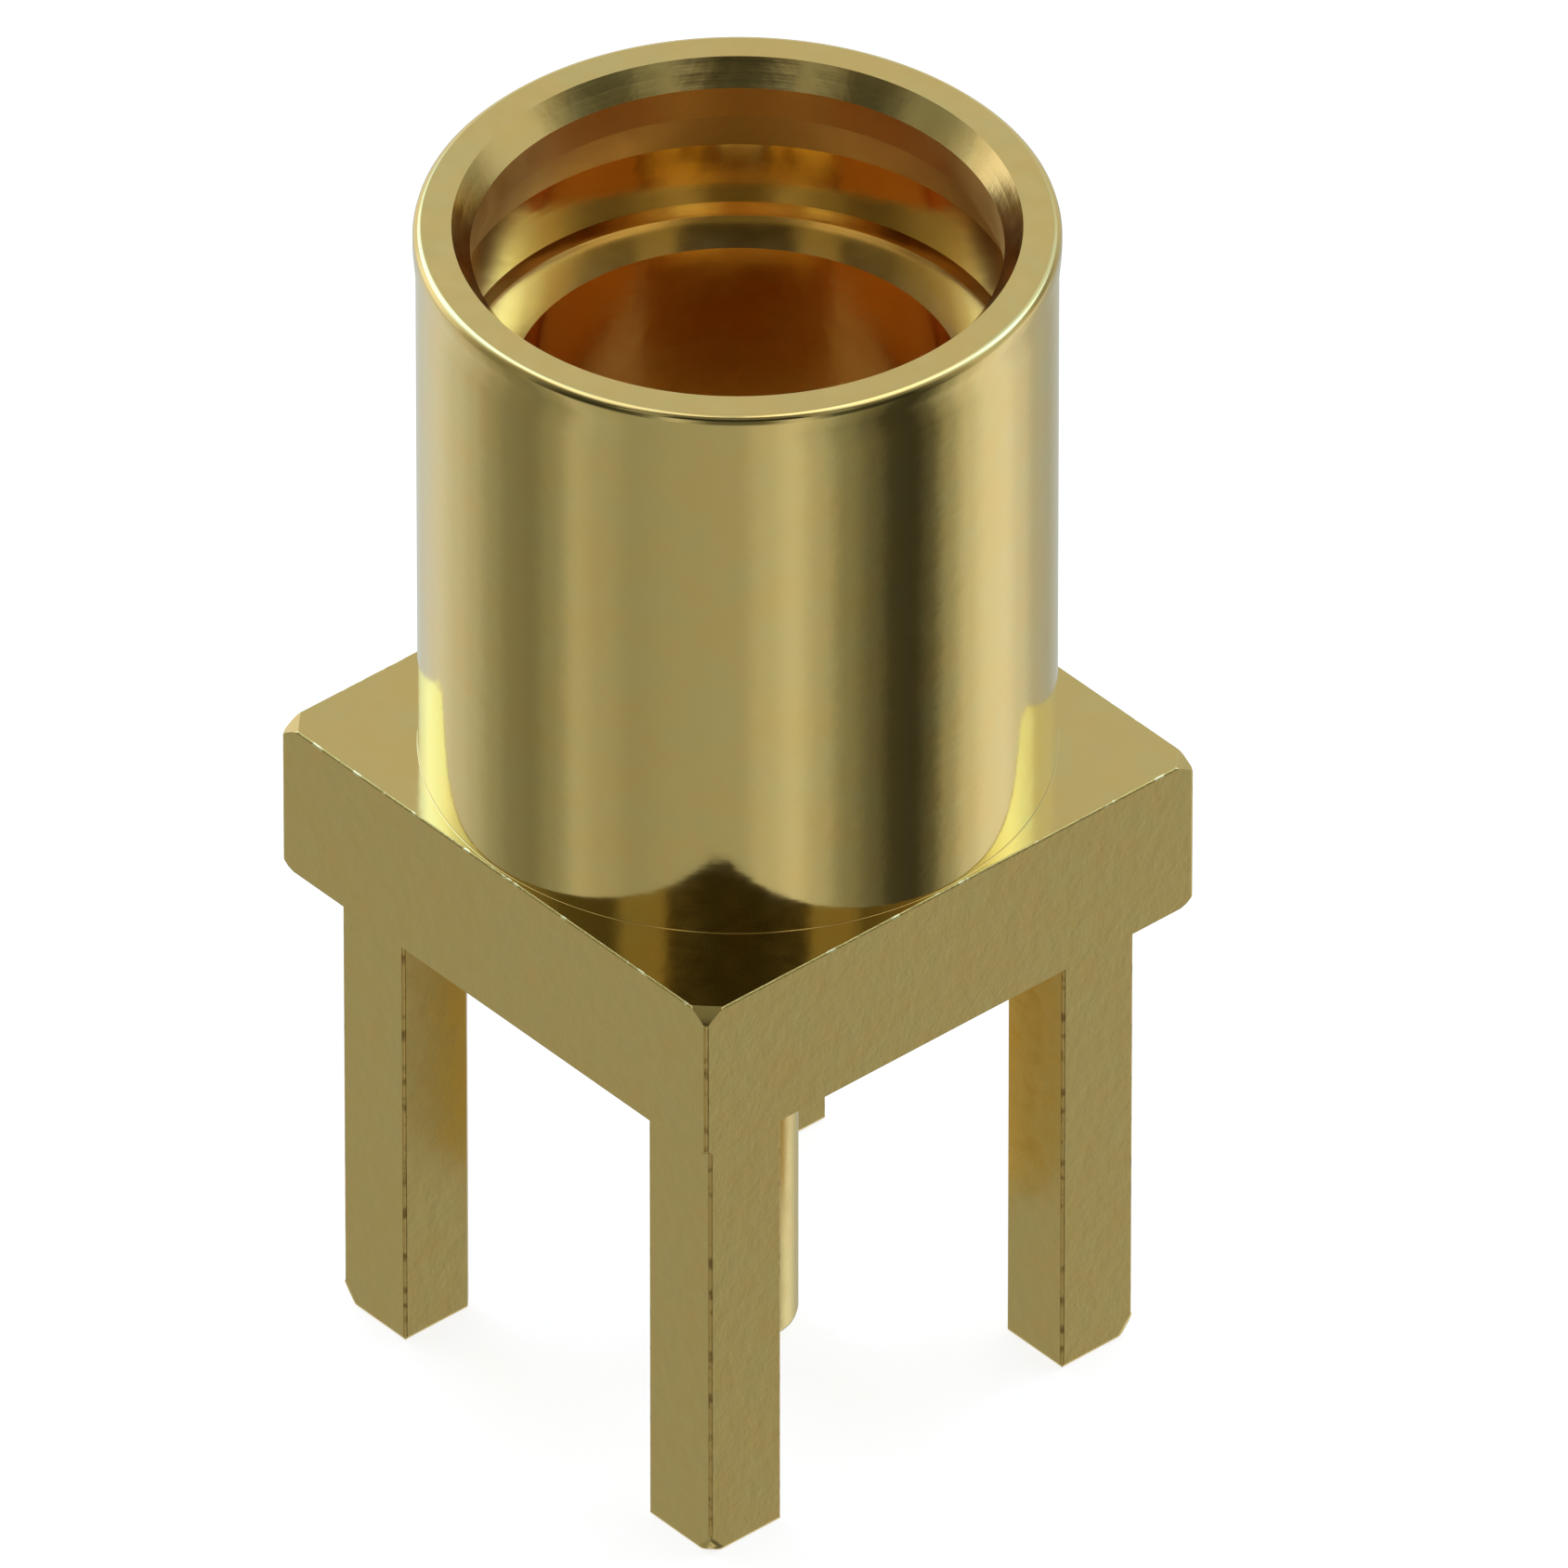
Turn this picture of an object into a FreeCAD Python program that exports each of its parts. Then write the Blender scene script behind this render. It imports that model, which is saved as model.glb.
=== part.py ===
"""Coaxial circuit board socket: a square-based brass barrel on four legs, its insulator bead and its centre contact.

The barrel stands up along +Z. The origin is on the barrel's axis in the plane where the base sits on the board,
so the legs and the contact's tail go down from it. All sizes are in millimetres.
"""

import FreeCAD
import Part
import os
import re

import Sketcher

doc = FreeCAD.newDocument("coaxial_board_socket")

# Driving sizes: name, value, meaning. The bore sets the widths, and each wall, step and gap has its own value.
SIZES = [
    ("plug_bore_diameter", 2.88, "land that the plug's spring ring passes"),
    ("mouth_step", 0.10, "land to the rim's opening, radial"),
    ("groove_step", 0.09, "land to the snap groove, radial"),
    ("ledge_width", 0.22, "land to the inner bore, radial"),
    ("shoulder_width", 0.26, "inner bore to the insulator pocket, radial"),
    ("barrel_wall", 0.295, "land to the barrel's outside, radial"),
    ("lip_step", 0.015, "barrel to its slightly wider lip, radial"),
    ("barrel_height", 3.47, "barrel foot to rim"),
    ("lip_length", 0.12, "rim to where the lip starts to narrow"),
    ("lip_taper_length", 0.18, "from there to where it has narrowed to the barrel"),
    ("rim_round", 0.05, "rounding of the rim's outer edge"),
    ("lead_in_length", 0.14, "rim to the land"),
    ("land_length", 0.19, "land"),
    ("groove_taper_length", 0.255, "the snap groove's sloping side"),
    ("groove_length", 0.381, "the snap groove's long wall"),
    ("groove_return", 0.006, "how much that wall narrows towards the ledge, radial"),
    ("ledge_corner_radius", 0.087, "rounding between that wall and the flat ledge"),
    ("base_margin", 0.02, "barrel to the base's side"),
    ("base_height", 0.97, "board to the barrel's foot"),
    ("base_corner_radius", 0.01, "rounding of the four upright corners"),
    ("upper_corner_cut", 0.095, "depth that a cone takes off the base's upper corners, towards the axis"),
    ("lower_corner_cut", 0.06, "the same at the lower corners"),
    ("corner_cut_angle", 45, "those cones' slope from the level, degrees"),
    ("pocket_height", 0.72, "board to the insulator pocket's shoulder"),
    ("leg_inset", 0.23, "base's side to the leg's outer face"),
    ("leg_width", 0.51, "square leg; with the inset it sets the legs on a 2.54 grid"),
    ("leg_length", 2.97, "board to the legs' ends"),
    ("leg_cut", 0.06, "depth that a cone takes off the legs' outer corners at their ends"),
    ("leg_cut_angle", 30, "that cone's slope from upright, degrees"),
    ("insulator_clearance", 0.01, "bead to body, radial"),
    ("insulator_recess", 0.05, "board to the bead's underside"),
    ("insulator_top", 1.55, "board to the bead's top"),
    ("insulator_chamfer", 0.08, "bead's top edge"),
    ("contact_clearance", 0.01, "contact to bead, radial"),
    ("tail_diameter", 0.66, "round solder tail"),
    ("tail_shortfall", 0.04, "legs' ends to the tail's end"),
    ("tail_chamfer", 0.05, "tail's end"),
    ("barb_width", 0.05, "how far the barb stands out from the stem"),
    ("barb_length", 0.56, "barb, bead's underside to its catching edge"),
    ("stem_diameter", 0.74, "contact inside the bead, above the barb"),
    ("head_diameter", 1.06, "contact's spring socket"),
    ("tip_depth", 1.60, "rim to the spring socket's tip"),
    ("socket_diameter", 0.40, "hole for the plug's pin"),
    ("socket_depth", 1.00, "tip to the end of the hole's straight wall"),
    ("socket_lead", 0.10, "countersink at the tip"),
    ("socket_drill_angle", 59, "half point angle of the hole's floor, degrees"),
    ("slot_width", 0.10, "slots between the four spring fingers"),
    ("slot_depth", 0.80, "tip to the slots' floor"),
]

sheet = doc.addObject("Spreadsheet::Sheet", "sizes")
for row, (alias, value, meaning) in enumerate(SIZES, start=1):
    sheet.set("A%d" % row, alias)
    sheet.set("B%d" % row, str(value))
    sheet.set("C%d" % row, meaning)
    sheet.setAlias("B%d" % row, alias)
doc.recompute()

# Radii and levels that several features share, each written once over the sheet's names
LAND = "(plug_bore_diameter / 2)"
MOUTH = "(%s + mouth_step)" % LAND
GROOVE = "(%s + groove_step)" % LAND
INNER_BORE = "(%s - ledge_width)" % LAND
POCKET = "(%s + shoulder_width)" % INNER_BORE
BARREL = "(%s + barrel_wall)" % LAND
LIP = "(%s + lip_step)" % BARREL
HALF_BASE = "(%s + base_margin)" % BARREL
LEG_OUTER = "(%s - leg_inset)" % HALF_BASE
LEG_INNER = "(%s - leg_width)" % LEG_OUTER
RIM = "(base_height + barrel_height)"
LAND_TOP = "(%s - lead_in_length)" % RIM
LAND_END = "(%s - land_length)" % LAND_TOP
GROOVE_TOP = "(%s - groove_taper_length)" % LAND_END
GROOVE_WALL_END = "(%s - groove_return)" % GROOVE
LEDGE = "(%s - groove_length - ledge_corner_radius)" % GROOVE_TOP
LEGS_END = "(-leg_length)"
TAIL_END = "(tail_shortfall - leg_length)"
TAIL = "(tail_diameter / 2)"
STEM = "(stem_diameter / 2)"
BARB = "(%s + barb_width)" % STEM
BARB_TOP = "(insulator_recess + barb_length)"
TIP = "(%s - tip_depth)" % RIM
SOCKET = "(socket_diameter / 2)"
SOCKET_FLOOR = "(%s - socket_depth)" % TIP
CUTTER_REACH = "(leg_width + base_height)"


def size_of(expression):
    """The present value of an expression over the sheet's names."""
    return float(sheet.evalExpression(expression))


def in_sheet(expression):
    """The same expression with every size read from the sheet by its full name."""
    names = {alias for alias, _, _ in SIZES}
    return re.sub(r"[a-z_]+", lambda word: "sizes." * (word.group() in names) + word.group(), expression)


def new_body(name):
    """An empty body that carries one piece's features."""
    body = doc.addObject("PartDesign::Body", name)
    body.Label = name
    return body


def origin_feature(body, role):
    """One of the body's own origin planes or axes."""
    return next(item for item in body.Origin.OriginFeatures if item.Role == role)


def outline(body, name, plane, corners):
    """A closed sketch through corners, each one held by two expressions over the sheet's names.

    On the XZ plane a corner is (radius, height). On the XY plane it is (x, y).
    """
    sketch = body.newObject("Sketcher::SketchObject", name)
    sketch.AttachmentSupport = (origin_feature(body, plane), [""])
    sketch.MapMode = "FlatFace"
    places = [FreeCAD.Vector(size_of(across), size_of(up), 0) for across, up in corners]
    count = len(places)
    for i in range(count):
        sketch.addGeometry(Part.LineSegment(places[i], places[(i + 1) % count]), False)
    for i in range(count):
        sketch.addConstraint(Sketcher.Constraint("Coincident", i, 2, (i + 1) % count, 1))
    for i, (across, up) in enumerate(corners):
        for kind, expression, value in (("DistanceX", across, places[i].x), ("DistanceY", up, places[i].y)):
            index = sketch.addConstraint(Sketcher.Constraint(kind, -1, 1, i, 1, value))
            sketch.setExpression("Constraints[%d]" % index, in_sheet(expression))
    doc.recompute()
    return sketch


def turned(body, kind, name, corners):
    """A full revolution about Z: kind Revolution adds it, kind Groove cuts it."""
    sketch = outline(body, name + "_profile", "XZ_Plane", corners)
    before = body.Shape.Volume if kind == "Groove" else 0
    feature = body.newObject("PartDesign::" + kind, name)
    feature.Profile = sketch
    feature.ReferenceAxis = (sketch, ["V_Axis"])
    feature.Angle = 360
    doc.recompute()
    if kind == "Groove" and not feature.Shape.Volume < before:
        raise RuntimeError(name + " cuts nothing")
    return feature


def edges_where(shape, test):
    """Names of the edges that pass the test."""
    return ["Edge%d" % (i + 1) for i, edge in enumerate(shape.Edges) if test(edge)]


def is_circle_at(edge, radius, height):
    """True for a circular edge of that radius at that height about the barrel's axis."""
    if not isinstance(edge.Curve, Part.Circle):
        return False
    return abs(edge.Curve.Radius - radius) < 1e-6 and abs(edge.Curve.Center.z - height) < 1e-6


def around_axis(body, name, feature, angle, count):
    """Repeats a feature about the barrel's axis and makes the pattern the body's result."""
    pattern = body.newObject("PartDesign::PolarPattern", name)
    pattern.Originals = [feature]
    pattern.Axis = (origin_feature(body, "Z_Axis"), [""])
    pattern.Angle = angle
    pattern.Occurrences = count
    body.Tip = pattern
    doc.recompute()
    return pattern


# Outer body: one brass piece, turned and milled
outer_body = new_body("outer_body")

base_sketch = outline(outer_body, "base_outline", "XY_Plane", [
    ("-" + HALF_BASE, "-" + HALF_BASE),
    (HALF_BASE, "-" + HALF_BASE),
    (HALF_BASE, HALF_BASE),
    ("-" + HALF_BASE, HALF_BASE),
])
base = outer_body.newObject("PartDesign::Pad", "base")
base.Profile = base_sketch
base.setExpression("Length", "sizes.base_height")
doc.recompute()

base_corners = outer_body.newObject("PartDesign::Fillet", "base_corners")
upright = edges_where(base.Shape, lambda e: abs(e.Vertexes[0].Z - e.Vertexes[-1].Z) > size_of("base_height") / 2)
base_corners.Base = (base, upright)
base_corners.setExpression("Radius", "sizes.base_corner_radius")
doc.recompute()

# The base's corners are turned off by a cone above and one below
UPPER_CONE = "(%s * sqrt(2) - upper_corner_cut)" % HALF_BASE
turned(outer_body, "Groove", "upper_corner_cone", [
    (UPPER_CONE, "base_height"),
    (UPPER_CONE + " + " + CUTTER_REACH, "base_height"),
    (UPPER_CONE + " + " + CUTTER_REACH, "base_height - " + CUTTER_REACH + " * tan(corner_cut_angle)"),
])
LOWER_CONE = "(%s * sqrt(2) - lower_corner_cut)" % HALF_BASE
turned(outer_body, "Groove", "lower_corner_cone", [
    (LOWER_CONE, "0"),
    (LOWER_CONE + " + " + CUTTER_REACH, "0"),
    (LOWER_CONE + " + " + CUTTER_REACH, CUTTER_REACH + " * tan(corner_cut_angle)"),
])

# Four square legs
leg_sketch = outline(outer_body, "leg_outline", "XY_Plane", [
    (LEG_INNER, LEG_INNER),
    (LEG_OUTER, LEG_INNER),
    (LEG_OUTER, LEG_OUTER),
    (LEG_INNER, LEG_OUTER),
])
leg = outer_body.newObject("PartDesign::Pad", "leg")
leg.Profile = leg_sketch
leg.Reversed = True
leg.setExpression("Length", "sizes.leg_length")
doc.recompute()
around_axis(outer_body, "legs", leg, 360, 4)

# The legs' outer corners are turned to a lead-in at their ends
LEG_CONE = "(%s * sqrt(2) - leg_cut)" % LEG_OUTER
turned(outer_body, "Groove", "leg_lead_in", [
    (LEG_CONE, LEGS_END),
    (LEG_CONE + " + " + CUTTER_REACH, LEGS_END),
    (LEG_CONE + " + " + CUTTER_REACH, LEGS_END + " + " + CUTTER_REACH + " / tan(leg_cut_angle)"),
])

# Barrel with its slightly wider lip
barrel = turned(outer_body, "Revolution", "barrel", [
    ("0", "0"),
    (BARREL, "0"),
    (BARREL, RIM + " - lip_length - lip_taper_length"),
    (LIP, RIM + " - lip_length"),
    (LIP, RIM),
    ("0", RIM),
])
rim_edge = outer_body.newObject("PartDesign::Fillet", "rim_edge")
rim_edge.Base = (barrel, edges_where(barrel.Shape, lambda e: is_circle_at(e, size_of(LIP), size_of(RIM))))
rim_edge.setExpression("Radius", "sizes.rim_round")
doc.recompute()

# The whole inside in one profile: lead-in, land, snap groove, ledge, inner bore and insulator pocket.
# The pocket's bore runs on past the board and shaves the legs' inner corners.
inside = turned(outer_body, "Groove", "inside", [
    ("0", RIM),
    (MOUTH, RIM),
    (LAND, LAND_TOP),
    (LAND, LAND_END),
    (GROOVE, GROOVE_TOP),
    (GROOVE_WALL_END, LEDGE),
    (INNER_BORE, LEDGE),
    (INNER_BORE, "pocket_height"),
    (POCKET, "pocket_height"),
    (POCKET, LEGS_END + " - leg_width"),
    ("0", LEGS_END + " - leg_width"),
])
ledge_corner = outer_body.newObject("PartDesign::Fillet", "ledge_corner")
ledge_corner.Base = (inside, edges_where(
    inside.Shape, lambda e: is_circle_at(e, size_of(GROOVE_WALL_END), size_of(LEDGE))))
ledge_corner.setExpression("Radius", "sizes.ledge_corner_radius")
doc.recompute()

# Insulator bead: a flange that seats on the pocket's shoulder and a hub in the inner bore
insulator_bead = new_body("insulator_bead")
turned(insulator_bead, "Revolution", "bead", [
    (TAIL + " + contact_clearance", "insulator_recess"),
    (POCKET + " - insulator_clearance", "insulator_recess"),
    (POCKET + " - insulator_clearance", "pocket_height"),
    (INNER_BORE + " - insulator_clearance", "pocket_height"),
    (INNER_BORE + " - insulator_clearance", "insulator_top - insulator_chamfer"),
    (INNER_BORE + " - insulator_clearance - insulator_chamfer", "insulator_top"),
    (STEM + " + contact_clearance", "insulator_top"),
    (STEM + " + contact_clearance", BARB_TOP),
    (BARB + " + contact_clearance", BARB_TOP),
])

# Centre contact: solder tail, barbed stem through the bead and spring socket on top of it
centre_contact = new_body("centre_contact")
turned_contact = turned(centre_contact, "Revolution", "turned_contact", [
    ("0", TAIL_END),
    (TAIL, TAIL_END),
    (TAIL, "insulator_recess"),
    (BARB, BARB_TOP),
    (STEM, BARB_TOP),
    (STEM, "insulator_top"),
    ("head_diameter / 2", "insulator_top"),
    ("head_diameter / 2", TIP),
    ("0", TIP),
])
tail_edge = centre_contact.newObject("PartDesign::Chamfer", "tail_edge")
tail_edge.Base = (turned_contact, edges_where(
    turned_contact.Shape, lambda e: is_circle_at(e, size_of(TAIL), size_of(TAIL_END))))
tail_edge.setExpression("Size", "sizes.tail_chamfer")
doc.recompute()

# Countersunk hole for the plug's pin, with a drilled floor
turned(centre_contact, "Groove", "pin_socket", [
    ("0", TIP),
    (SOCKET + " + socket_lead", TIP),
    (SOCKET, TIP + " - socket_lead"),
    (SOCKET, SOCKET_FLOOR),
    ("0", SOCKET_FLOOR + " - " + SOCKET + " / tan(socket_drill_angle)"),
])

# Two crossing saw cuts part the socket into four spring fingers
slot_sketch = outline(centre_contact, "slot_outline", "XZ_Plane", [
    ("-slot_width / 2", TIP + " - slot_depth"),
    ("slot_width / 2", TIP + " - slot_depth"),
    ("slot_width / 2", RIM),
    ("-slot_width / 2", RIM),
])
unslotted = centre_contact.Shape.Volume
slot = centre_contact.newObject("PartDesign::Pocket", "slot")
slot.Profile = slot_sketch
slot.Midplane = True
slot.setExpression("Length", "sizes.head_diameter * 2")
doc.recompute()
slots = around_axis(centre_contact, "slots", slot, 90, 2)
if not slots.Shape.Volume < slot.Shape.Volume < unslotted:
    raise RuntimeError("the slots cut nothing")

# Check every feature, then write each piece
doc.recompute()
for item in doc.Objects:
    if "Invalid" in item.State or "Error" in item.State:
        raise RuntimeError(item.Name + " failed: " + str(item.State))
os.makedirs("parts", exist_ok=True)
for piece in (outer_body, insulator_bead, centre_contact):
    shape = piece.Shape
    if shape.isNull() or not shape.isValid() or len(shape.Solids) != 1:
        raise RuntimeError(piece.Label + " is not one valid solid")
    shape.exportStep("parts/%s.step" % piece.Label)
    print(piece.Label, "volume", round(shape.Volume, 4), "box", shape.BoundBox)
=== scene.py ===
from math import cos, hypot, pi, radians, sin, sqrt, tan

import bmesh
import bpy
from mathutils import Matrix, Vector


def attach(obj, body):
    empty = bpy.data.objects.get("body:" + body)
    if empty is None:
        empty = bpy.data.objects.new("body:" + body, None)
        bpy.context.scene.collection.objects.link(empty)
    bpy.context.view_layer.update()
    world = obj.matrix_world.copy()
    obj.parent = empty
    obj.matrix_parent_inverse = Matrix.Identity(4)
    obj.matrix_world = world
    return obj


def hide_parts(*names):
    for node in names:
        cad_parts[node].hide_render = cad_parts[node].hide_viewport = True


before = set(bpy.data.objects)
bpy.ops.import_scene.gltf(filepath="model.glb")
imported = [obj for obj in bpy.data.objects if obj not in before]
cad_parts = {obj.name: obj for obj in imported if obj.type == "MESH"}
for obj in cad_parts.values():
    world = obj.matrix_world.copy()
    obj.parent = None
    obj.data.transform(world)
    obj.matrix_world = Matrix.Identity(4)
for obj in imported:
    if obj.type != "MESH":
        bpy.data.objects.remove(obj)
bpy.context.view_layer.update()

# Everything is drawn in millimetres and brought to metres when a piece is finished.
MM = 0.001
ROUND, FINE_ROUND = 192, 96      # steps of a full turn, for the body and for the thin contact
SPARE = 0.2                      # how far a cutting tool reaches past what it cuts

# socket body, as in the CAD solids
BASE_SIDE, BASE_TOP = 3.51, 0.97
CORNER_ROUND = 0.022
# what turning takes off the base's corners: (towards the axis, from the top or the underside)
UPPER_CUT = [(0.0, 0.110), (0.020, 0.062), (0.060, 0.024), (0.098, 0.0)]
LOWER_CUT = [(0.0, 0.070), (0.012, 0.040), (0.035, 0.015), (0.065, 0.0)]
BARREL, LIP = 1.735, 1.75
LIP_START, LIP_FULL, RIM = 4.14, 4.32, 4.44
RIM_ROUND = 0.05
FOOT = 0.006                     # fillet where the barrel meets the base
LEG_IN, LEG_OUT, LEG_END = 1.015, 1.525, -2.97
LEG_CONE, LEG_CONE_ANGLE = 2.0967, 30    # radius of the turned lead-in at the legs' ends, its angle with the axis
EDGE_BREAK, LEG_EDGE_BREAK = 0.012, 0.0168   # tumbled edges of base and legs
LEG_TIP_ROUND = 0.03
MOUTH, LAND = 1.54, 1.44
LAND_TOP, LAND_LOW = 4.30, 4.11
GROOVE_TOP, GROOVE_LOW = (1.53, 3.855), (1.524, 3.474)
INNER_BORE, LEDGE = 1.22, 3.387
LEDGE_FOOT = (1.50, 3.40)        # from here the tool's nose leaves a slope up to the wall
POCKET, POCKET_TOP = 1.48, 0.72

# bead and contact
BEAD_LOW, BEAD_TOP = 0.05, 1.55
BEAD_FLANGE, BEAD_HUB = 1.47, 1.21
TAIL, TAIL_END = 0.33, -2.93
BARB, BARB_TOP = 0.42, 0.61
STEM, HEAD, TIP = 0.37, 0.53, 2.84
PIN_HOLE, PIN_FLOOR = 0.20, 1.84
SLOT_WIDTH, SLOT_DEPTH = 0.10, 0.80
COUNTERSINK = 0.1
DRILL_POINT = 118
BEAD_CLEARANCE = 0.01            # of the bead's hole around the contact
HUB_ROUND, FLANGE_ROUND = 0.08, 0.02
TAIL_ROUND, TIP_ROUND, HEAD_ROUND = 0.05, 0.03, 0.02

# the photograph's camera
VIEW_AZIMUTH, VIEW_ELEVATION = 48.934, 37.064
VIEW_DISTANCE = 302.416
VIEW_RIGHT, VIEW_UP = 0.2511, 0.5364
VIEW_LENS = 1278.4

FLOOR_REACH = 400


# ---------------------------------------------------------------- shapes

def finished(name, bm):
    """The mesh as an object that stays in millimetres until it is a finished piece."""
    bmesh.ops.recalc_face_normals(bm, faces=bm.faces)
    mesh = bpy.data.meshes.new(name)
    bm.to_mesh(mesh)
    bm.free()
    piece = bpy.data.objects.new(name, mesh)
    bpy.context.collection.objects.link(piece)
    return piece


def turned(name, profile, rounds=(), steps=ROUND):
    """A solid turned about Z from points (radius, height) that start and end on the axis."""
    bm = bmesh.new()
    corners = [bm.verts.new((r, 0, z)) for r, z in profile]
    edges = [bm.edges.new(pair) for pair in zip(corners, corners[1:])]
    bmesh.ops.spin(bm, geom=corners + edges, cent=(0, 0, 0), axis=(0, 0, 1), angle=2 * pi, steps=steps,
                   use_merge=True)
    bmesh.ops.remove_doubles(bm, verts=bm.verts, dist=1e-5)
    for radius, height, width in rounds:
        ring = [e for e in bm.edges
                if all(abs(hypot(v.co.x, v.co.y) - radius) < 1e-4 and abs(v.co.z - height) < 1e-4 for v in e.verts)]
        bmesh.ops.bevel(bm, geom=ring, offset=width, offset_type="OFFSET", segments=3, profile=0.5,
                        affect="EDGES", material=-1)
    return finished(name, bm)


def block(name, low, high, uprights=0.0):
    """A square block, its upright edges rounded."""
    bm = bmesh.new()
    size = Vector(high) - Vector(low)
    middle = (Vector(high) + Vector(low)) / 2
    bmesh.ops.create_cube(bm, size=1, matrix=Matrix.Translation(middle) @ Matrix.Diagonal((*size, 1)))
    if uprights:
        edges = [e for e in bm.edges if abs(e.verts[0].co.z - e.verts[1].co.z) > size.z / 2]
        bmesh.ops.bevel(bm, geom=edges, offset=uprights, offset_type="OFFSET", segments=6, profile=0.5,
                        affect="EDGES", material=-1)
    return finished(name, bm)


def cut(piece, *tools):
    """Joins, cuts or trims the piece with the tools, each given as (operation, object), and keeps the result."""
    for operation, tool in tools:
        step = piece.modifiers.new(tool.name, "BOOLEAN")
        step.operation, step.object, step.solver = operation, tool, "EXACT"
    bpy.context.view_layer.update()
    mesh = bpy.data.meshes.new_from_object(piece.evaluated_get(bpy.context.evaluated_depsgraph_get()))
    piece.modifiers.clear()
    old = piece.data
    piece.data = mesh
    bpy.data.meshes.remove(old)
    for operation, tool in tools:
        bpy.data.objects.remove(tool)


def break_edges(piece, width, wanted):
    """Rounds the wanted edges that turn by more than 25 degrees, as tumbling does."""
    bm = bmesh.new()
    bm.from_mesh(piece.data)
    bmesh.ops.remove_doubles(bm, verts=bm.verts, dist=1e-4)
    bmesh.ops.dissolve_limit(bm, angle_limit=radians(0.5), verts=bm.verts, edges=bm.edges)
    edges = [e for e in bm.edges if len(e.link_faces) == 2 and e.calc_face_angle(0) > radians(25) and wanted(e)]
    bmesh.ops.bevel(bm, geom=edges, offset=width, offset_type="OFFSET", segments=3, profile=0.5,
                    affect="EDGES", material=-1, clamp_overlap=True)
    bmesh.ops.recalc_face_normals(bm, faces=bm.faces)
    bm.to_mesh(piece.data)
    bm.free()


def keep_flats_flat(mesh):
    """Shades each corner by the largest faces that meet there without a sharp edge between them, so that flat and round
    walls stay true beside their narrow rounded edges."""
    bm = bmesh.new()
    bm.from_mesh(mesh)
    area = [face.calc_area() for face in bm.faces]
    normals = [None] * len(mesh.loops)
    for vert in bm.verts:
        waiting = set(vert.link_faces)
        while waiting:
            fan, front = [], [waiting.pop()]
            while front:
                face = front.pop()
                fan.append(face)
                near = [other for edge in face.edges if edge.smooth and vert in edge.verts
                        for other in edge.link_faces if other in waiting]
                waiting.difference_update(near)
                front += near
            largest = max(area[face.index] for face in fan)
            normal = sum((face.normal for face in fan if area[face.index] > 0.6 * largest), Vector()).normalized()
            for loop in vert.link_loops:
                if loop.face in fan:
                    normals[loop.index] = normal
    bm.free()
    mesh.normals_split_custom_set(normals)


def hand_over(piece, node, *zones):
    """Brings the piece to metres, shades it, gives it its finishes and puts it in the CAD node's place.
    zones are (material, test of a face in millimetres); the first that fits is used."""
    bm = bmesh.new()
    bm.from_mesh(piece.data)
    bmesh.ops.remove_doubles(bm, verts=bm.verts, dist=1e-4)
    bmesh.ops.recalc_face_normals(bm, faces=bm.faces)
    for face in bm.faces:
        face.smooth = True
        middle, normal = face.calc_center_median(), face.normal
        face.material_index = next(i for i, (material, fits) in enumerate(zones) if fits(middle, normal))
    for edge in bm.edges:
        # the bore's steps are crisp, though they turn little; their faces are wider than those of a rounded edge
        wide = min(face.calc_area() for face in edge.link_faces) > 0.003
        crisp = wide and hypot(*edge.verts[0].co.xy) < MOUTH + 0.01
        edge.smooth = edge.calc_face_angle(0) < radians(10 if crisp else 31)
    bmesh.ops.scale(bm, vec=(MM, MM, MM), verts=bm.verts)
    piece.data.materials.clear()
    for material, fits in zones:
        piece.data.materials.append(material)
    bm.to_mesh(piece.data)
    bm.free()
    keep_flats_flat(piece.data)
    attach(piece, "root")
    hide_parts(node)


# ---------------------------------------------------------------- finishes, some with painted light and shade

def linear(hex_colour):
    """An sRGB hex colour as the linear colour that a shader takes."""
    channels = [int(hex_colour[i:i + 2], 16) / 255 for i in (1, 3, 5)]
    return (*(c / 12.92 if c <= 0.04045 else ((c + 0.055) / 1.055) ** 2.4 for c in channels), 1)


def add(tree, kind, sockets={}, **settings):
    """Adds a node. A socket takes a value, or the output that it is linked to."""
    node = tree.nodes.new(kind)
    for name, value in settings.items():
        setattr(node, name, value)
    for key, value in sockets.items():
        if isinstance(value, bpy.types.NodeSocket):
            tree.links.new(value, node.inputs[key])
        else:
            node.inputs[key].default_value = value
    return node


def per(millimetres):
    """The scale that repeats a pattern about once in that length."""
    return 1 / (millimetres * MM)


def new_material(name):
    material = bpy.data.materials.new(name)
    material.use_nodes = True
    material.node_tree.nodes.clear()
    return material


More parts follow.
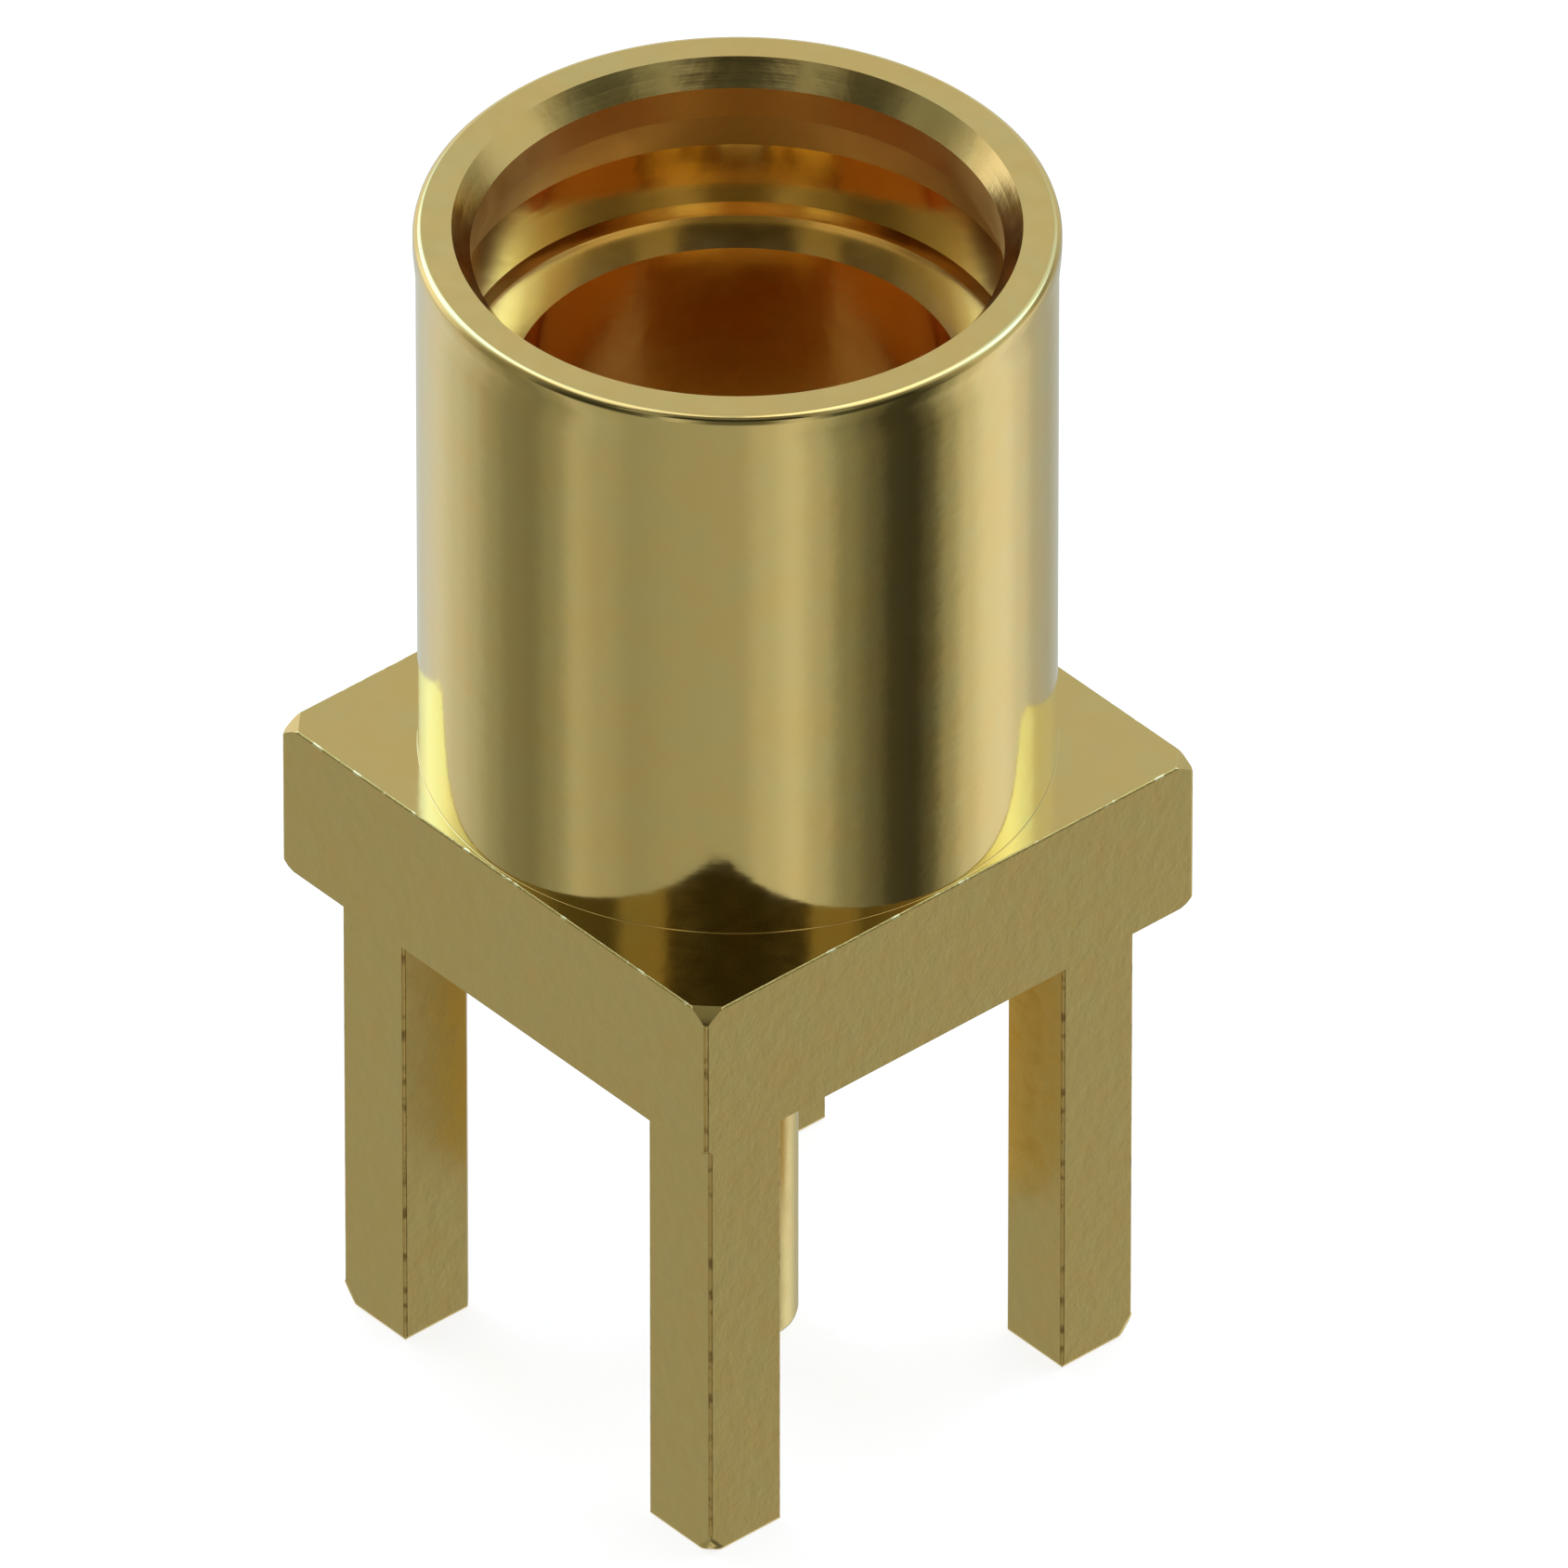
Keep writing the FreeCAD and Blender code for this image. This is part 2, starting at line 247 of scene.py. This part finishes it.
def new_gold(name, tints, rings, grain, dapple, depth, rough, spread=(0.35, 0.65), turned=0.0):
    """Thin gold over brass. rings, grain and dapple are the spacings in millimetres of the tool's rings, the plating's
    own grain and the soft unevenness under it; depth is the relief of each in thousandths of a millimetre; rough is
    the range of roughness; tints are two gold colours that drift into each other over that spread of the noise;
    turned is how much the tool's marks around the axis draw the reflections out across them. The real grain is finer
    than a picture shows, so it is drawn 0.02 to 0.03 mm wide."""
    material = new_material(name)
    tree = material.node_tree
    place = add(tree, "ShaderNodeTexCoord").outputs["Object"]
    axes = add(tree, "ShaderNodeSeparateXYZ", {"Vector": place}).outputs
    flat = add(tree, "ShaderNodeCombineXYZ", {"X": axes["X"], "Y": axes["Y"]}).outputs[0]
    radius = add(tree, "ShaderNodeVectorMath", {0: flat}, operation="LENGTH").outputs["Value"]
    circles = add(tree, "ShaderNodeCombineXYZ", {"X": radius, "Y": axes["Z"]}).outputs[0]
    marks = add(tree, "ShaderNodeTexNoise", {"Vector": circles, "Scale": per(rings), "Detail": 3.0}).outputs["Fac"]
    fine = add(tree, "ShaderNodeTexNoise", {"Vector": place, "Scale": per(grain), "Detail": 3.0}).outputs["Fac"]
    soft = add(tree, "ShaderNodeTexNoise", {"Vector": place, "Scale": per(dapple), "Detail": 2.0}).outputs["Fac"]
    drift = add(tree, "ShaderNodeTexNoise", {"Vector": place, "Scale": per(dapple * 1.7),
                                             "Detail": 3.0}).outputs["Fac"]
    height = add(tree, "ShaderNodeMath", {0: marks, 1: depth[0]}, operation="MULTIPLY").outputs[0]
    height = add(tree, "ShaderNodeMath", {0: fine, 1: depth[1], 2: height}, operation="MULTIPLY_ADD").outputs[0]
    height = add(tree, "ShaderNodeMath", {0: soft, 1: depth[2], 2: height}, operation="MULTIPLY_ADD").outputs[0]
    bump = add(tree, "ShaderNodeBump", {"Height": height, "Strength": 1.0, "Distance": 0.001 * MM}).outputs[0]
    uneven = add(tree, "ShaderNodeMapRange", {"Value": soft, "From Min": 0.3, "From Max": 0.7,
                                              "To Min": rough[0], "To Max": rough[1]}).outputs[0]
    drift = add(tree, "ShaderNodeMapRange", {"Value": drift, "From Min": spread[0],
                                             "From Max": spread[1]}).outputs[0]
    colour = add(tree, "ShaderNodeMix", {"Factor": drift, "A": linear(tints[0]), "B": linear(tints[1])},
                 data_type="RGBA").outputs["Result"]
    around = add(tree, "ShaderNodeTangent", direction_type="RADIAL", axis="Z").outputs[0]
    shader = add(tree, "ShaderNodeBsdfPrincipled", {"Base Color": colour, "Metallic": 1.0, "Roughness": uneven,
                                                    "Normal": bump, "Tangent": around, "Anisotropic": turned,
                                                    "Anisotropic Rotation": 0.25})
    add(tree, "ShaderNodeOutputMaterial", {"Surface": shader.outputs[0]})
    return material


def gold_on_turned_brass():
    """Bright gold on lathe-turned brass: a soft mirror with faint rings from the tool."""
    return new_gold("gold_plated_turned_brass", ("#E4C37A", "#E0C681"), rings=0.06, grain=0.03, dapple=0.16,
                    depth=(0.35, 0.08, 0.9), rough=(0.09, 0.13), turned=0.5)


def gold_on_faced_brass():
    """Satin gold on the faces that the lathe tool ended on: rim and lead-in."""
    return new_gold("gold_plated_faced_brass", ("#EAC67C", "#E4C881"), rings=0.05, grain=0.03, dapple=0.14,
                    depth=(0.9, 0.3, 1.4), rough=(0.14, 0.20), turned=0.5)


def bored_gold_painted_bounce_light():
    """The groove's wall, drawn out up and down by the boring tool's fine rings; painted redder, as painted bounce
    light.
    """
    return new_gold("gold_plated_bored_painted_bounce_light", ("#F3C26D", "#EEBC65"), rings=0.05, grain=0.03, dapple=0.20,
                    depth=(0.4, 0.12, 0.8), rough=(0.10, 0.15), turned=0.7)


def ledge_gold_painted_highlight():
    """Satin gold on the ledge that plugs bear on, painted paler: a painted highlight."""
    return new_gold("gold_plated_ledge_painted_highlight", ("#EADAA4", "#E6D7A6"), rings=0.05, grain=0.03, dapple=0.14,
                    depth=(0.7, 0.3, 1.2), rough=(0.20, 0.26), turned=0.5)


def relief_gold_painted_shade():
    """The land and the slope under it: left duller by the relieving tool, and painted darker and redder as painted
    shade.
    """
    return new_gold("gold_plated_relief_painted_shade", ("#E6AE5C", "#E0A856"), rings=0.04, grain=0.03, dapple=0.20,
                    depth=(0.5, 0.15, 0.8), rough=(0.34, 0.42), turned=0.9)


def reamed_gold_painted_bounce_light():
    """Bottom of the bore, smooth from the reamer; painted reddest, as painted light for light bouncing down there."""
    return new_gold("gold_plated_reamed_painted_bounce_light", ("#FCBE5E", "#F8B856"), rings=0.05, grain=0.03, dapple=0.20,
                    depth=(0.4, 0.15, 1.0), rough=(0.12, 0.20), turned=0.8)


def gold_on_milled_brass():
    """Gold over milled and tumbled faces: satin, with a fine mottled grain."""
    return new_gold("gold_plated_milled_brass", ("#ECCA7E", "#E9CC83"), rings=0.30, grain=0.025, dapple=0.11,
                    depth=(0.0, 0.40, 0.9), rough=(0.20, 0.28))


def edge_gold_painted_glints():
    """Edges burnished by tumbling and dented here and there, with painted glints: pale, nearly white spots in their
    colour.
    """
    return new_gold("gold_plated_tumbled_edges_painted_glints", ("#C9AE66", "#FFF0B4"), rings=0.30, grain=0.03, dapple=0.06,
                    depth=(0.0, 1.5, 3.0), rough=(0.55, 0.25), spread=(0.57, 0.63))


def corner_gold_painted_shade():
    """Upright rounded corners, painted darker in patches: painted shade for the dark reflection along them."""
    return new_gold("gold_plated_corners_painted_shade", ("#92723F", "#CDAB66"), rings=0.30, grain=0.03, dapple=0.06,
                    depth=(0.0, 0.6, 2.0), rough=(0.26, 0.36), spread=(0.36, 0.48))


def gold_on_contact():
    """Brighter, harder gold on the contact's spring alloy, with finer rings from the tool."""
    return new_gold("gold_plated_contact", ("#EED188", "#EBD28C"), rings=0.04, grain=0.02, dapple=0.15,
                    depth=(0.3, 0.15, 0.5), rough=(0.24, 0.32))


def white_fluoropolymer():
    """Turned PTFE: waxy, milky white, slightly uneven, with soft marks from the tool."""
    material = new_material("white_ptfe")
    tree = material.node_tree
    place = add(tree, "ShaderNodeTexCoord").outputs["Object"]
    grain = add(tree, "ShaderNodeTexNoise", {"Vector": place, "Scale": per(0.04), "Detail": 2.0}).outputs["Fac"]
    bump = add(tree, "ShaderNodeBump", {"Height": grain, "Strength": 1.0, "Distance": 0.0015 * MM}).outputs[0]
    colour = add(tree, "ShaderNodeMix", {"Factor": grain, "A": linear("#E6E4DD"), "B": linear("#F1EFE9")},
                 data_type="RGBA").outputs["Result"]
    shader = add(tree, "ShaderNodeBsdfPrincipled", {"Base Color": colour, "Roughness": 0.5, "IOR": 1.35,
                                                    "Normal": bump})
    add(tree, "ShaderNodeOutputMaterial", {"Surface": shader.outputs[0]})
    return material


# ---------------------------------------------------------------- pieces

def socket_body():
    side = BASE_SIDE / 2
    body = block("socket_body", (-side, -side, 0), (side, side, BASE_TOP), CORNER_ROUND)
    corner = side * sqrt(2)
    waist = 0.2                  # this far from top and underside the corners are whole
    under = [(corner - across, rise) for across, rise in reversed(LOWER_CUT)]
    over = [(corner - across, BASE_TOP - drop) for across, drop in UPPER_CUT]
    cut(body, ("INTERSECT", turned("corner_rounds", [
        (0, -SPARE), (under[0][0] - SPARE, -SPARE), *under, (corner + SPARE, waist), (corner + SPARE, BASE_TOP - waist),
        *over, (over[-1][0] - SPARE, BASE_TOP + SPARE), (0, BASE_TOP + SPARE)])))
    break_edges(body, EDGE_BREAK, lambda edge: edge.calc_length() > 1 and edge.verts[0].co.z > BASE_TOP - 0.01)

    leg = block("legs", (LEG_IN, LEG_IN, LEG_END), (LEG_OUT, LEG_OUT, BASE_TOP / 2))
    # the turned lead-in is as good as flat across so short a corner
    bm = bmesh.new()
    bm.from_mesh(leg.data)
    tip = bmesh.ops.bisect_plane(bm, geom=bm.verts[:] + bm.edges[:] + bm.faces[:], clear_outer=True,
                                 plane_co=(LEG_CONE / sqrt(2), LEG_CONE / sqrt(2), LEG_END),
                                 plane_no=(1, 1, -sqrt(2) * tan(radians(LEG_CONE_ANGLE))))
    bmesh.ops.holes_fill(bm, edges=[e for e in tip["geom_cut"] if isinstance(e, bmesh.types.BMEdge)], sides=0)
    bm.to_mesh(leg.data)
    bm.free()
    break_edges(leg, LEG_TIP_ROUND, lambda edge: all(v.co.z < LEG_END + 0.2 for v in edge.verts))
    break_edges(leg, LEG_EDGE_BREAK, lambda edge: edge.calc_length() > 1)

    # one leg at each corner
    bm = bmesh.new()
    bm.from_mesh(leg.data)
    first = list(bm.verts) + list(bm.edges) + list(bm.faces)
    for quarter in (1, 2, 3):
        copy = bmesh.ops.duplicate(bm, geom=first)["geom"]
        bmesh.ops.rotate(bm, cent=(0, 0, 0), matrix=Matrix.Rotation(quarter * pi / 2, 3, "Z"),
                         verts=[v for v in copy if isinstance(v, bmesh.types.BMVert)])
    bm.to_mesh(leg.data)
    bm.free()

    # the barrel starts well inside the base, and one point between the ends draws its fillet
    barrel = turned("barrel", [(0, 0.3), (BARREL + FOOT, 0.3), (BARREL + FOOT, BASE_TOP),
                               (BARREL + FOOT * 0.29, BASE_TOP + FOOT * 0.29), (BARREL, BASE_TOP + FOOT),
                               (BARREL, LIP_START), (LIP, LIP_FULL), (LIP, RIM), (0, RIM)],
                    rounds=[(LIP, RIM, RIM_ROUND)])
    widening = (MOUTH - LAND) / (RIM - LAND_TOP)
    inside = turned("inside", [(0, LEG_END - SPARE), (POCKET, LEG_END - SPARE), (POCKET, POCKET_TOP),
                               (INNER_BORE, POCKET_TOP), (INNER_BORE, LEDGE), LEDGE_FOOT, GROOVE_LOW, GROOVE_TOP,
                               (LAND, LAND_LOW), (LAND, LAND_TOP), (MOUTH + SPARE * widening, RIM + SPARE),
                               (0, RIM + SPARE)])
    cut(body, ("UNION", leg), ("UNION", barrel), ("DIFFERENCE", inside))
    return body


def insulator_bead():
    bead = turned("insulator", [(0, BEAD_LOW), (BEAD_FLANGE, BEAD_LOW), (BEAD_FLANGE, POCKET_TOP),
                                (BEAD_HUB, POCKET_TOP), (BEAD_HUB, BEAD_TOP), (0, BEAD_TOP)],
                  rounds=[(BEAD_HUB, BEAD_TOP, HUB_ROUND), (BEAD_FLANGE, BEAD_LOW, FLANGE_ROUND)])
    low, barb, stem = (radius + BEAD_CLEARANCE for radius in (TAIL, BARB, STEM))
    cut(bead, ("DIFFERENCE", turned("bead_hole", [
        (0, BEAD_LOW - SPARE / 2), (low, BEAD_LOW - SPARE / 2), (low, BEAD_LOW), (barb, BARB_TOP), (stem, BARB_TOP),
        (stem, BEAD_TOP + SPARE / 2), (0, BEAD_TOP + SPARE / 2)])))
    return bead


def centre_contact():
    contact = turned("contact", [(0, TAIL_END), (TAIL, TAIL_END), (TAIL, BEAD_LOW), (BARB, BARB_TOP),
                                 (STEM, BARB_TOP), (STEM, BEAD_TOP), (HEAD, BEAD_TOP), (HEAD, TIP), (0, TIP)],
                     rounds=[(TAIL, TAIL_END, TAIL_ROUND), (HEAD, TIP, TIP_ROUND), (HEAD, BEAD_TOP, HEAD_ROUND)],
                     steps=FINE_ROUND)
    point = PIN_HOLE / tan(radians(DRILL_POINT / 2))
    pin_hole = turned("pin_hole", [(0, PIN_FLOOR - point), (PIN_HOLE, PIN_FLOOR), (PIN_HOLE, TIP - COUNTERSINK),
                                   (PIN_HOLE + COUNTERSINK, TIP), (PIN_HOLE + 2 * COUNTERSINK, TIP + COUNTERSINK),
                                   (0, TIP + COUNTERSINK)], steps=FINE_ROUND)
    half, floor, top = SLOT_WIDTH / 2, TIP - SLOT_DEPTH, TIP + SPARE
    cut(contact, ("DIFFERENCE", pin_hole),
        ("DIFFERENCE", block("slot_x", (-1, -half, floor), (1, half, top))),
        ("DIFFERENCE", block("slot_y", (-half, -1, floor), (half, 1, top))))
    return contact


# ---------------------------------------------------------------- where each finish of the body lies, painted light included
# Each test is given the middle c of a face and its normal n.

def in_bore(c):
    return hypot(c.x, c.y) < MOUTH


def on_bore_wall(c, n):
    """The groove's upright wall and the slope at its foot."""
    return in_bore(c) and (abs(n.z) < 0.2 or n.z < 0.9 and 0 < c.z - LEDGE < 0.1)


def on_turned_face(c, n):
    """Barrel, base top, pocket and bore, and the cones that cut the base's corners."""
    radius = hypot(c.x, c.y)
    return c.z > BASE_TOP - 0.0005 or radius < POCKET + 0.01 or radius > 2.36 and abs(n.z) > 0.2


def on_edge(c, n):
    """The rounded long edges of the base."""
    least, middle = sorted(map(abs, n))[:2]
    return c.z > 0 and middle > 0.15 and least < 0.25


# ---------------------------------------------------------------- studio

def studio_surround():
    """A white tent with grey and dark flags, as the photograph's metal shows it. Directions are given as azimuth from
    the photograph's camera, positive to its right, and elevation. Any camera sees plain white."""
    world = bpy.data.worlds.new("studio_surround")
    bpy.context.scene.world = world
    world.use_nodes = True
    tree = world.node_tree
    tree.nodes.clear()
    turn = radians(VIEW_AZIMUTH)
    ray = add(tree, "ShaderNodeTexCoord").outputs["Generated"]
    front, right = (add(tree, "ShaderNodeVectorMath", {0: ray, 1: way}, operation="DOT_PRODUCT").outputs["Value"]
                    for way in ((sin(turn), -cos(turn), 0), (cos(turn), sin(turn), 0)))
    rise = add(tree, "ShaderNodeSeparateXYZ", {"Vector": ray}).outputs["Z"]
    azimuth = add(tree, "ShaderNodeMath", {0: right, 1: front}, operation="ARCTAN2").outputs[0]
    azimuth = add(tree, "ShaderNodeMapRange", {"Value": azimuth, "From Min": -pi, "From Max": pi}).outputs[0]

    def shade(level, cool):
        """Half the light of that level, a little warm where dim and cooler the brighter it is."""
        dim, bright = min(level, 1.0), max(level - 1.0, 0.0)
        cool *= min(max(level - 0.6, 0.0) / 0.3, 1.0)
        return [level / 2 * tint for tint in (0.98, 1.055 + cool * (0.35 + 0.3 * bright),
                                              0.82 + 0.33 * dim + cool * (0.9 + 0.9 * bright))]

    def band(stops, cool=0.0):
        """A ring of light around the object, as (azimuth, level) from the back over the left to the back."""
        ramp = add(tree, "ShaderNodeValToRGB", {"Fac": azimuth})
        ramp.color_ramp.interpolation = "EASE"
        elements = ramp.color_ramp.elements
        elements[0].position, elements[1].position = 0, 1
        for degrees, level in stops:
            position = (degrees + 180) / 360
            element = elements[0] if position <= 0 else elements[-1] if position >= 1 else elements.new(position)
            element.color = (*shade(level, cool), 1)
        return ramp.outputs["Color"]

    def blend(first, second, value, low, high):
        """From one ring to the next, where the value runs between the sines of the two elevations."""
        factor = add(tree, "ShaderNodeMapRange", {"Value": value, "From Min": sin(radians(low)),
                                                  "From Max": sin(radians(high))},
                     interpolation_type="SMOOTHSTEP").outputs[0]
        return add(tree, "ShaderNodeMix", {"Factor": factor, "A": first, "B": second},
                   data_type="RGBA").outputs["Result"]

    below = band([(-180, 0.62), (-160, 0.66), (-148, 0.74), (-136, 0.79), (-120, 0.67), (-110, 0.55), (-100, 0.38),
                  (-90, 0.27), (-80, 0.24), (-70, 0.34), (-60, 0.54), (-50, 0.46), (-38, 0.39), (-20, 0.43),
                  (0, 0.45), (10, 0.59), (20, 0.72), (30, 0.52), (40, 0.28), (50, 0.15), (58, 0.06), (67, 0.05),
                  (74, 0.12), (82, 0.38), (92, 0.70), (102, 0.92), (112, 0.95), (124, 0.76), (136, 0.53),
                  (150, 0.47), (165, 0.53), (180, 0.62)])
    level = band([(-180, 0.80), (-140, 0.95), (-128, 1.25), (-116, 1.15), (-106, 0.80), (-98, 0.45), (-90, 0.28),
                  (-82, 0.24), (-74, 0.28), (-66, 0.12), (-58, 0.05), (-46, 0.05), (-34, 0.08), (-20, 0.60),
                  (-8, 0.14), (0, 0.13), (8, 0.14), (20, 0.65), (34, 0.08), (46, 0.05), (58, 0.04), (66, 0.12),
                  (76, 0.32), (86, 0.62), (104, 0.62), (120, 0.34), (150, 0.65), (180, 0.80)])
    above = band([(-180, 0.60), (-172, 0.66), (-165, 1.10), (-158, 1.30), (-149, 1.60), (-133, 1.55), (-121, 1.15),
                  (-108, 0.75), (-98, 0.45), (-84, 0.28), (-64, 0.12), (-46, 0.10), (-42, 0.33), (-28, 0.33),
                  (-24, 0.03), (0, 0.03), (24, 0.03), (28, 0.33), (42, 0.33), (46, 0.14), (64, 0.20), (84, 0.55),
                  (98, 0.95), (108, 1.50), (116, 1.60), (130, 1.25), (138, 0.85), (152, 0.80), (164, 0.70),
                  (180, 0.60)], cool=1.0)
    overhead = band([(-180, 0.70), (-130, 1.70), (-75, 1.00), (-40, 0.20), (40, 0.20), (75, 1.20), (130, 1.90),
                     (155, 1.90), (180, 0.70)])
    # at the sides and the back the ring above reaches lower
    sunk = add(tree, "ShaderNodeMath", {0: front, 1: -0.10, 2: 0.08}, operation="MULTIPLY_ADD").outputs[0]
    sunk = add(tree, "ShaderNodeMath", {0: rise, 1: sunk}, operation="ADD").outputs[0]
    tent = blend(below, level, rise, -28, -4)
    tent = blend(tent, above, sunk, 26, 37)
    tent = blend(tent, overhead, rise, 50, 66)
    seen = add(tree, "ShaderNodeLightPath").outputs["Is Camera Ray"]
    around = add(tree, "ShaderNodeBackground", {"Color": tent, "Strength": 2.0}).outputs[0]
    behind = add(tree, "ShaderNodeBackground", {"Color": (1, 1, 1, 1), "Strength": 1.0}).outputs[0]
    both = add(tree, "ShaderNodeMixShader", {0: seen, 1: around, 2: behind}).outputs[0]
    add(tree, "ShaderNodeOutputWorld", {"Surface": both})


def pale_floor():
    bm = bmesh.new()
    bmesh.ops.create_grid(bm, x_segments=1, y_segments=1, size=FLOOR_REACH * MM)
    bmesh.ops.translate(bm, vec=(0, 0, LEG_END * MM), verts=bm.verts)
    floor = finished("floor", bm)
    material = new_material("white_sweep")
    tree = material.node_tree
    seen = add(tree, "ShaderNodeLightPath").outputs["Is Camera Ray"]
    paper = add(tree, "ShaderNodeBsdfDiffuse", {"Color": linear("#F2F2F2")}).outputs[0]
    # to the camera, mostly plain white with enough of the lit paper to keep the shadow
    soft = add(tree, "ShaderNodeBsdfDiffuse", {"Color": linear("#A49E92")}).outputs[0]
    white = add(tree, "ShaderNodeEmission", {"Color": (1, 1, 1, 1), "Strength": 0.84}).outputs[0]
    lit = add(tree, "ShaderNodeAddShader", {0: white, 1: soft}).outputs[0]
    both = add(tree, "ShaderNodeMixShader", {0: seen, 1: paper, 2: lit}).outputs[0]
    add(tree, "ShaderNodeOutputMaterial", {"Surface": both})
    floor.data.materials.append(material)
    floor.visible_glossy = False


def photograph_camera():
    azimuth, elevation = radians(VIEW_AZIMUTH), radians(VIEW_ELEVATION)
    right = Vector((cos(azimuth), sin(azimuth), 0))
    back = Vector((sin(azimuth) * cos(elevation), -cos(azimuth) * cos(elevation), sin(elevation)))
    up = back.cross(right)
    lens = bpy.data.cameras.new("photograph_camera")
    lens.lens, lens.sensor_width = VIEW_LENS, 36
    lens.clip_start, lens.clip_end = 0.01, 10
    camera = bpy.data.objects.new("photograph_camera", lens)
    bpy.context.collection.objects.link(camera)
    place = (back * VIEW_DISTANCE + right * VIEW_RIGHT + up * VIEW_UP) * MM
    camera.matrix_world = Matrix.Translation(place) @ Matrix((right, up, back)).transposed().to_4x4()
    bpy.context.scene.camera = camera


# ---------------------------------------------------------------- the scene

bpy.context.scene.view_settings.view_transform = "Standard"

body = socket_body()
hand_over(body, "outer_body",
          # the bore's golds are painted redder or paler for the light inside it, the corners' darker as painted shade,
          # the edges' with painted glints
          (reamed_gold_painted_bounce_light(), lambda c, n: in_bore(c) and abs(n.z) < 0.4 and c.z < LEDGE),
          (relief_gold_painted_shade(), lambda c, n: in_bore(c) and -0.6 < n.z < 0.2 and c.z > GROOVE_TOP[1]),
          (bored_gold_painted_bounce_light(), on_bore_wall),
          (ledge_gold_painted_highlight(), lambda c, n: in_bore(c) and n.z > 0.9 and abs(c.z - LEDGE) < 0.02),
          (gold_on_faced_brass(), lambda c, n: hypot(c.x, c.y) < LIP - RIM_ROUND and c.z > LEDGE - 0.001),
          (gold_on_turned_brass(), on_turned_face),
          (corner_gold_painted_shade(), lambda c, n: abs(n.z) < 0.1 and min(abs(n.x), abs(n.y)) > 0.15),
          (edge_gold_painted_glints(), on_edge),
          (gold_on_milled_brass(), lambda c, n: True))

bead = insulator_bead()
hand_over(bead, "insulator_bead", (white_fluoropolymer(), lambda c, n: True))

contact = centre_contact()
hand_over(contact, "centre_contact", (gold_on_contact(), lambda c, n: True))

pale_floor()
studio_surround()
photograph_camera()
